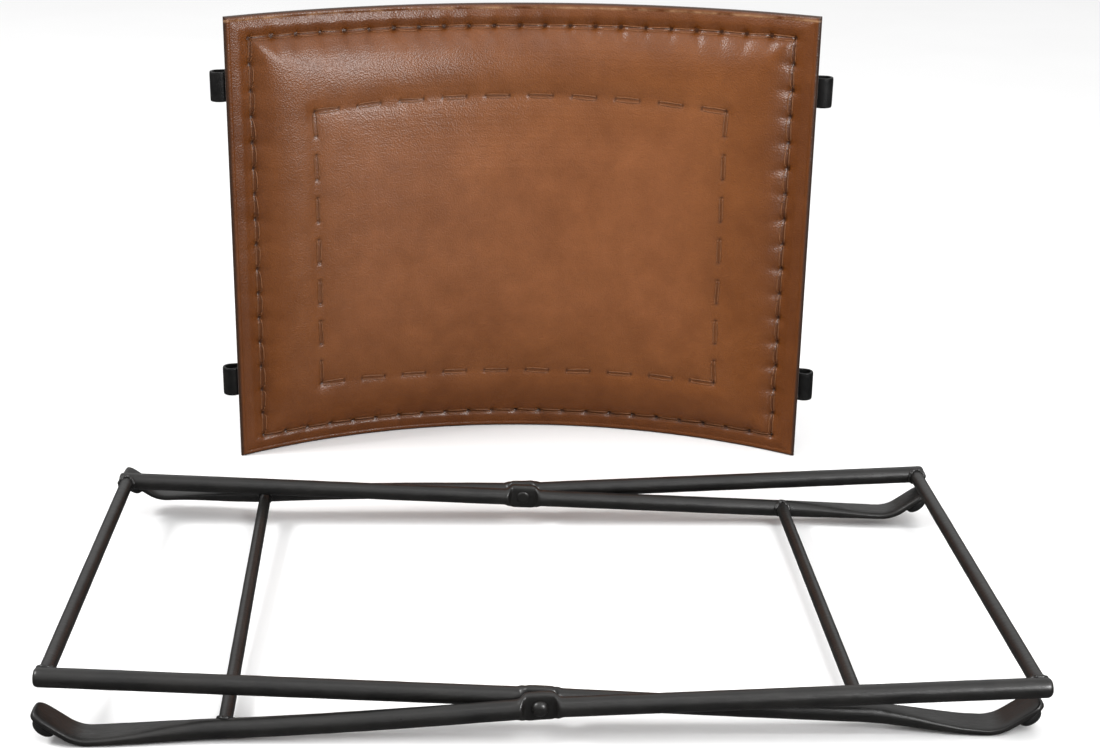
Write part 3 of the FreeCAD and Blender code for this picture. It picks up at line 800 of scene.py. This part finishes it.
class Puff:
    """How the front leather swells between its stitches: a cloth sheet, held
    at the hem and at the inner stitches, is blown up a little from behind."""

    SPACING = 6.0
    FRAMES = 20
    MOST = 4.0

    def __init__(self):
        across = 2 * (SLING_HALF_ARC - HEM_INSETS[0])
        upright = SLING_HEIGHT - HEM_INSETS[1] - HEM_INSETS[2]
        self.columns = round(across / self.SPACING)
        self.rows = round(upright / self.SPACING)
        self.u = np.linspace(-across / 2, across / 2, self.columns + 1)
        self.w = np.linspace(HEM_INSETS[2], SLING_HEIGHT - HEM_INSETS[1], self.rows + 1)
        self.swell = np.zeros((self.columns + 1, self.rows + 1))
        self.swell = self.simulate()

    def simulate(self):
        u, w = np.meshgrid(self.u, self.w, indexing="ij")
        depth = pad_depth(u, w)
        flat = np.stack([u, w, depth], axis=-1).reshape(-1, 3) * MM
        high = self.rows + 1
        faces = []
        for i in range(self.columns):
            for j in range(self.rows):
                a = i * high + j
                faces.append((a, a + high, a + high + 1, a + 1))
        sheet = make_object("puff_sheet", flat, faces, TAN)
        held = []
        for i in range(self.columns + 1):
            for j in range(high):
                rim = i in (0, self.columns) or j in (0, self.rows)
                if rim or self.stitched(self.u[i], self.w[j]):
                    held.append(i * high + j)
        sheet.vertex_groups.new(name="held").add(held, 1.0, "REPLACE")
        cloth = sheet.modifiers.new("cloth", "CLOTH")
        settings = cloth.settings
        settings.quality = 8
        settings.mass = 0.4
        settings.tension_stiffness = 25
        settings.compression_stiffness = 25
        settings.shear_stiffness = 8
        settings.bending_stiffness = 1.5
        settings.use_pressure = True
        settings.uniform_pressure_force = 4.0
        settings.vertex_group_mass = "held"
        settings.effector_weights.gravity = 0.0
        cloth.collision_settings.use_collision = False
        scene = bpy.context.scene
        for number in range(1, self.FRAMES + 1):
            scene.frame_set(number)
        shaped = sheet.evaluated_get(bpy.context.evaluated_depsgraph_get())
        places = np.zeros(len(flat) * 3)
        shaped.data.vertices.foreach_get("co", places)
        moved = places.reshape(-1, 3)[:, 2] / MM - depth.ravel()
        bpy.data.objects.remove(sheet)
        scene.frame_set(1)
        return np.clip(moved, -self.MOST, self.MOST).reshape(depth.shape)

    def stitched(self, u, w):
        for row in INNER_ROWS:
            along, aside = row.place(u, w)
            if abs(aside) < self.SPACING * 0.6 and -1 < along < row.spans[-1][1] + 1:
                return True
        return False

    def __call__(self, u, w):
        """The swell at any places, between the sheet's points."""
        i = np.clip((u - self.u[0]) / (self.u[1] - self.u[0]), 0, self.columns - 0.001)
        j = np.clip((w - self.w[0]) / (self.w[1] - self.w[0]), 0, self.rows - 0.001)
        low_i, low_j = i.astype(int), j.astype(int)
        a, b = smooth_array(i - low_i), smooth_array(j - low_j)
        grid = self.swell
        left = grid[low_i, low_j] * (1 - b) + grid[low_i, low_j + 1] * b
        right = grid[low_i + 1, low_j] * (1 - b) + grid[low_i + 1, low_j + 1] * b
        return left * (1 - a) + right * a


class SlingSurface:
    """The front of the sling as depths on a grid of (u, w)."""

    def __init__(self, spacing):
        self.u_lines = grid_lines(2 * SLING_HALF_ARC, spacing) - SLING_HALF_ARC
        self.w_lines = grid_lines(SLING_HEIGHT, spacing)
        self.u, self.w = np.meshgrid(self.u_lines, self.w_lines, indexing="ij")
        end = np.minimum(self.w, SLING_HEIGHT - self.w)
        self.inset = np.minimum(SLING_HALF_ARC - np.abs(self.u), end)
        # painted shade at the stitch holes and along the stitch lines, filled in by pull_in and
        # press
        self.crease = np.zeros_like(self.u)
        self.puff = Puff()
        self.depth = self.shape()

    def shape(self):
        """A hem rounded at its rim, grooved beside it and a little full, then
        the pad, its swell, slight unevenness and the pull of the stitches."""
        hem = np.full_like(self.u, LEATHER)
        edge = np.clip(self.inset / LEATHER, 0, 1)
        hem *= np.sqrt(1 - (1 - edge) ** 2)
        hem -= 0.45 * np.exp(-((self.inset - 4.4) / 0.8) ** 2)
        hem += 0.9 * smooth_array((self.inset - 5) / 6) * smooth_array((17 - self.inset) / 6)
        depth = hem + pad_depth(self.u, self.w)
        depth += self.puff(self.u, self.w)
        depth += 0.22 * noise_array(self.u, self.w, 0.05, 7.0)
        for row in HEM_ROWS:
            self.pull_in(depth, row)
        for row in INNER_ROWS:
            self.press(depth, row)
        return depth

    def pull_in(self, depth, row):
        """Gathers the leather at the holes of a hem row, and marks painted shade at the holes and
        along the row.
        """
        along, aside = row.place(self.u, self.w)
        first, last = row.spans[0][0], row.spans[-1][1]
        within = smooth_array((along - first + 4) / 4) * smooth_array((last + 4 - along) / 4)
        depth -= 0.8 * within * np.exp(-(aside / 2.0) ** 2)
        inward = np.where(aside < 0, -aside, 0)
        outward = np.where(aside > 0, aside, 0)
        draws = random.Random(str(row.start))
        most = 2.0 if row is HEM_ROWS[0] else 1.2
        for low, high in row.spans:
            for hole in (low, high):
                pull = draws.uniform(0.4, 1.0) * most
                lean = draws.uniform(-0.35, 0.35)
                near = np.exp(-((along - hole) / 1.5) ** 2)
                depth -= 0.8 * pull * near * np.exp(-(aside / 1.8) ** 2)
                slanted = along - hole + lean * aside
                fade = np.exp(-(inward / 8.0) ** 1.5) * np.exp(-outward / 5.0)
                depth -= 0.9 * pull * np.exp(-(slanted / 4.2) ** 2) * fade * within
                self.crease += 0.9 * np.exp(-((along - hole) / 1.0) ** 2 - (aside / 1.4) ** 2)
        self.crease += 0.25 * within * np.exp(-(aside / 0.8) ** 2)

    def press(self, depth, row):
        """A shallow valley along the inner stitches, deeper at each one, with painted shade
        marked at the holes and along the stitches.
        """
        along, aside = row.place(self.u, self.w)
        span = row.spans[-1][1]
        within = smooth_array((along + 10) / 10) * smooth_array((span + 10 - along) / 10)
        depth -= 0.9 * within * np.exp(-(aside / 9.0) ** 2)
        for low, high in row.spans:
            inside = smooth_array((along - low + 1) / 2) * smooth_array((high + 1 - along) / 2)
            depth -= 0.55 * inside * np.exp(-(aside / 2.6) ** 2)
            for hole in (low, high):
                spot = np.exp(-((along - hole) / 1.4) ** 2 - (aside / 2.2) ** 2)
                depth -= 0.6 * spot
                self.crease += 0.8 * np.exp(-((along - hole) / 1.0) ** 2 - (aside / 1.8) ** 2)
            self.crease += 0.22 * inside * np.exp(-(aside / 0.8) ** 2)

    def depth_at(self, u, w):
        i = int(np.clip(np.searchsorted(self.u_lines, u) - 1, 0, len(self.u_lines) - 2))
        j = int(np.clip(np.searchsorted(self.w_lines, w) - 1, 0, len(self.w_lines) - 2))
        a = (u - self.u_lines[i]) / (self.u_lines[i + 1] - self.u_lines[i])
        b = (w - self.w_lines[j]) / (self.w_lines[j + 1] - self.w_lines[j])
        a, b = min(1, max(0, a)), min(1, max(0, b))
        d = self.depth
        low = mix(d[i, j], d[i + 1, j], a)
        high = mix(d[i, j + 1], d[i + 1, j + 1], a)
        return mix(low, high, b)


def slab_mesh(name, surface, front, back, material):
    """A closed sheet between two depth grids that meet at the rim."""
    rows, columns = surface.u.shape
    vertices = np.concatenate([
        sling_points(surface.u, surface.w, front).reshape(-1, 3),
        sling_points(surface.u, surface.w, back).reshape(-1, 3),
    ])
    shift = rows * columns
    faces = []
    for i in range(rows - 1):
        for j in range(columns - 1):
            a = i * columns + j
            b, c, d = a + columns, a + columns + 1, a + 1
            faces.append((a, b, c, d))
            faces.append((shift + a, shift + d, shift + c, shift + b))
    rim = [i * columns for i in range(rows)]
    rim += [(rows - 1) * columns + j for j in range(1, columns)]
    rim += [i * columns + columns - 1 for i in range(rows - 2, -1, -1)]
    rim += [j for j in range(columns - 2, 0, -1)]
    for k, a in enumerate(rim):
        b = rim[(k + 1) % len(rim)]
        faces.append((b, a, shift + a, shift + b))
    return make_object(name, vertices, faces, material)


def add_attribute(slab, name, values):
    """Gives a slab's points a value each, the same on both of its grids."""
    attribute = slab.data.attributes.new(name, "FLOAT", "POINT")
    attribute.data.foreach_set("value", np.tile(values.astype(np.float32).ravel(), 2))


def make_sling(surface):
    """The stuffed front and the back leather, meeting near the mid surface."""
    front = surface.depth
    middle_depth = np.full_like(front, 0.15)
    rim = surface.inset < 0.01
    cushion = slab_mesh("sling_cushion", surface, np.where(rim, 0.5, front), middle_depth, TAN)
    add_attribute(cushion, "inset", surface.inset / 100)
    # the painted shade of the stitch holes and stitch lines
    add_attribute(cushion, "crease", np.clip(surface.crease, 0, 1))
    # where the light line runs along the top rim: partly scuffed wear, partly a painted highlight
    scuff_and_highlight = np.exp(-((SLING_HEIGHT - surface.w - 3.6) / 0.8) ** 2)
    add_attribute(cushion, "scuff_and_highlight", scuff_and_highlight)
    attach(cushion, "sling")
    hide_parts("sling_front_leather", "sling_padding")

    edge = np.clip(surface.inset / LEATHER, 0, 1)
    behind = -LEATHER * np.sqrt(1 - (1 - edge) ** 2)
    behind += 0.2 * noise_array(surface.u, surface.w, 0.03, 11.0) * edge
    behind = np.where(rim, -0.5, behind)
    lining = slab_mesh("sling_lining", surface, middle_depth - 0.3, behind, BACK)
    add_attribute(lining, "inset", surface.inset / 100)
    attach(lining, "sling")
    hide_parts("sling_back_leather")


def make_stitching(surface, rows, name, node, spread, thickness):
    """Doubled threads: two strands from hole to hole, front and back."""
    draws = random.Random(node)
    vertices, faces = [], []
    steps = 12
    for row in rows:
        for low, high in row.spans:
            lean = draws.uniform(-0.7, 0.7)
            open_by = spread * draws.uniform(0.8, 1.15)
            for strand in (-1, 1):
                for behind in (False, True):
                    path = []
                    for k in range(steps + 1):
                        share = k / steps
                        in_hole = k in (0, steps)
                        swell = 0.0 if in_hole else math.sin(math.pi * share) ** 0.3
                        aside = strand * open_by / 2 * (0.55 + 0.45 * swell)
                        aside += lean * (share - 0.5) * 2
                        u, w = row.at(mix(low, high, share), aside)
                        lift = -1.4 if in_hole else thickness * 0.55
                        if behind:
                            path.append(sling_point(u, w, -LEATHER - lift))
                        else:
                            path.append(sling_point(u, w, surface.depth_at(u, w) + lift))
                    tube, quads = sweep(path, thickness * MM)
                    start = len(vertices)
                    vertices += tube
                    faces += [tuple(start + i for i in face) for face in quads]
    threads = make_object(name, vertices, faces, THREAD)
    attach(threads, "sling")
    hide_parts(node)


# Straps. Their plan is (t, m): t runs out past the edge, m to the back.


class StrapPlan:
    """One strap seen from above, on the left (side -1) or right edge."""

    def __init__(self, side):
        self.side = side
        turn = SLING_HALF_ARC / SLING_RADIUS
        self.outward = Vector((side * math.cos(turn), -math.sin(turn), 0))
        self.back = Vector((side * math.sin(turn), math.cos(turn), 0))
        self.bar_m = LEATHER + STRAP_THICKNESS + LOOP_RADIUS
        self.loop_radius = LOOP_RADIUS + STRAP_THICKNESS / 2

    def at(self, t, m):
        edge = sling_point(self.side * SLING_HALF_ARC, 0, 0)
        return edge + (self.outward * t + self.back * m) * MM

    def on_panel(self, from_edge, m):
        return sling_point(self.side * (SLING_HALF_ARC - from_edge), 0, -m)

    def on_loop(self, share):
        """A point of the loop's middle line: 0 at the panel, 1 opposite."""
        turn = math.pi * share
        across, back = self.loop_radius * math.sin(turn), self.loop_radius * math.cos(turn)
        return self.at(across, self.bar_m - back)

    def base_path(self):
        """Mid line of the fixed end and the loop, up to the loop's far side."""
        m = LEATHER + STRAP_THICKNESS / 2 + 0.03
        path = [self.on_panel(STRAP_LENGTH * (1 - k / 14), m) for k in range(14)]
        return path + [self.on_loop(LOOP_SHARE * k / 16) for k in range(17)]

    def tongue_path(self):
        """From the loop's far side to the free end under the snap."""
        path = [self.on_loop(mix(LOOP_SHARE, 1.0, k / 4)) for k in range(5)]
        rest = LEATHER + STRAP_THICKNESS + TONGUE_GAP + TONGUE_THICKNESS / 2
        start = self.at(0, self.bar_m + self.loop_radius)
        landing = self.on_panel(TONGUE_LANDING, rest)
        lead = self.on_panel(TONGUE_LEAD, rest)
        for k in range(1, 13):
            share = k / 12
            leaving = start - self.outward * TONGUE_RUN_IN * MM * share
            path.append(leaving.lerp(lead.lerp(landing, share), smooth(share)))
        for k in range(1, 10):
            path.append(self.on_panel(mix(TONGUE_LANDING, TONGUE_LENGTH, k / 9), rest))
        return path


def strip(name, path, low, thickness, round_end=False):
    """A strap's strip with rounded edges, upright, along a plan path."""
    half = STRAP_WIDTH / 2 * MM
    thick = thickness / 2 * MM
    vertices = []
    section = superellipse(7.0, 36)
    for i, point in enumerate(path):
        ahead = path[min(i + 1, len(path) - 1)] - path[max(i - 1, 0)]
        ahead.normalize()
        side = Vector((0, 0, 1)).cross(ahead).normalized()
        left = len(path) - 1 - i
        tall = half
        if round_end and left < 5:
            tall = half * (0.72 + 0.28 * math.sqrt(1 - (1 - left / 5) ** 2))
        for u, v in section:
            place = point + side * u * thick + Vector((0, 0, v * tall))
            place += Vector((0, 0, low * MM + half))
            wave = noise.noise(place * 90) * 0.12 * MM
            vertices.append(place + side * wave)
    return make_object(name, vertices, tube_faces(len(path), len(section)), STRAP)


def make_straps():
    cap = ((0.4, 0.0), (5.5, 0.0), (5.45, 0.7), (5.0, 1.4), (4.1, 1.9), (2.6, 2.15), (0.4, 2.2))
    stud = ((0.3, 0.0), (2.0, 0.0), (2.0, 1.6), (1.7, 2.0), (0.3, 2.0))
    rivet = ((0.3, 0.0), (3.0, 0.0), (3.0, 0.35), (2.6, 0.9), (1.8, 1.3), (0.3, 1.4))
    studs, rivets = [], []
    for word, height in STRAP_HEIGHTS.items():
        plan = StrapPlan(-1 if word.endswith("left") else 1)
        low = height - STRAP_WIDTH / 2
        base = strip(f"strap_{word}_loop", plan.base_path(), low, STRAP_THICKNESS)
        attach(base, "sling")
        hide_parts(f"strap_base_{word}")
        path = plan.tongue_path()
        tongue = strip(f"strap_{word}_end", path, low, TONGUE_THICKNESS, round_end=True)
        body = f"strap_{word}"
        lift = Vector((0, 0, height * MM))
        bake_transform(tongue)
        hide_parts(f"strap_tongue_{word}")

        away = (plan.on_panel(SNAP_FROM_EDGE, 10) - plan.on_panel(SNAP_FROM_EDGE, 0)).normalized()
        outside = LEATHER + STRAP_THICKNESS + TONGUE_GAP + TONGUE_THICKNESS + SNAP_SEAT
        spot = plan.on_panel(SNAP_FROM_EDGE, outside) + lift
        snap = lathe(f"snap_{word}_domed", cap, spot, away, SNAP)
        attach(snap, body)
        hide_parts(f"snap_cap_{word}")
        spot = plan.on_panel(SNAP_FROM_EDGE, LEATHER + STRAP_THICKNESS) + lift
        studs.append(lathe("stud", stud, spot, away, SNAP))
        for step in (-RIVET_SPACING / 2, RIVET_SPACING / 2):
            spot = plan.on_panel(RIVETS_FROM_EDGE, LEATHER + STRAP_THICKNESS)
            spot = spot + lift + Vector((0, 0, step * MM))
            rivets.append(lathe("rivet", rivet, spot, away, SNAP))
    for name, pieces, node in (
        ("snap_studs_turned", studs, "snap_studs"),
        ("strap_rivets_domed", rivets, "strap_rivets"),
    ):
        joined = join(name, pieces)
        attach(joined, "sling")
        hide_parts(node)


# Stage


def make_camera():
    data = bpy.data.cameras.new("camera")
    data.sensor_width = 36.0
    data.lens = CAMERA_LENS
    data.shift_x = CAMERA_SHIFT
    data.clip_end = 50.0
    camera = bpy.data.objects.new("camera", data)
    camera.location = (PIVOT.x - CAMERA_LEFT, PIVOT.y - CAMERA_BACK, CAMERA_HEIGHT)
    camera.rotation_euler = (math.radians(90 - CAMERA_PITCH), 0, 0)
    bpy.context.scene.collection.objects.link(camera)
    bpy.context.scene.camera = camera


def make_floor():
    shader = Shader("studio_floor", Roughness=0.7)
    shader.put("Base Color", shader.ramp(shader.noise(3.0), (0.3, 0.90), (0.7, 0.92)))
    reach = 8.0
    corners = [(-reach, -reach, 0), (reach, -reach, 0), (reach, reach, 0), (-reach, reach, 0)]
    floor = make_object("studio_floor", corners, [(0, 1, 2, 3)], shader.material)
    floor.visible_glossy = False


def make_light(name, place, target, size, power, diffuse=True, glossy=True):
    data = bpy.data.lights.new(name, "AREA")
    data.shape = "RECTANGLE"
    data.size, data.size_y = size
    data.energy = power
    light = bpy.data.objects.new(name, data)
    light.location = place
    light.visible_diffuse = diffuse
    light.visible_glossy = glossy
    light.rotation_euler = (Vector(target) - Vector(place)).to_track_quat("-Z", "Y").to_euler()
    bpy.context.scene.collection.objects.link(light)


def make_world():
    """Bright overhead and dimmer towards the horizon, as in a studio."""
    world = bpy.data.worlds.new("studio")
    world.use_nodes = True
    tree = world.node_tree
    background = tree.nodes["Background"]
    background.inputs["Strength"].default_value = 1.0
    place = tree.nodes.new("ShaderNodeTexCoord")
    split = tree.nodes.new("ShaderNodeSeparateXYZ")
    ramp = tree.nodes.new("ShaderNodeValToRGB")
    stops = ramp.color_ramp.elements
    stops.new(0.5)
    for stop, (height, grey) in zip(stops, ((0.0, 0.10), (0.06, 0.30), (0.5, 1.0))):
        stop.position, stop.color = height, (grey, grey, grey, 1)
    tree.links.new(place.outputs["Generated"], split.inputs[0])
    tree.links.new(split.outputs["Z"], ramp.inputs["Fac"])
    tree.links.new(ramp.outputs["Color"], background.inputs["Color"])
    bpy.context.scene.world = world


def make_lights():
    make_light("key_left", (-2.0, -0.2, 1.9), (0, -0.1, 0), (0.55, 0.55), 42)
    panel = (0.0, 0.3, 0.3)
    make_light("fill_front_right", (0.62, -1.0, 1.5), panel, (0.5, 1.5), 20, glossy=False)
    make_light("strip_above", (0.2, -0.72, 1.6), panel, (1.3, 0.28), 2.5, diffuse=False)
    make_light("low_box_right", (1.00, -1.13, 0.74), panel, (0.5, 0.4), 22, diffuse=False)
    bpy.context.scene.view_settings.view_transform = "Standard"


make_camera()
make_floor()
make_world()
make_lights()
make_frame()
SURFACE = SlingSurface(1.5)
make_sling(SURFACE)
make_stitching(SURFACE, HEM_ROWS, "hem_stitches", "sling_hem_stitching", 2.9, 0.5)
make_stitching(SURFACE, INNER_ROWS, "inner_stitches", "sling_inner_stitching", 3.3, 0.5)
make_straps()
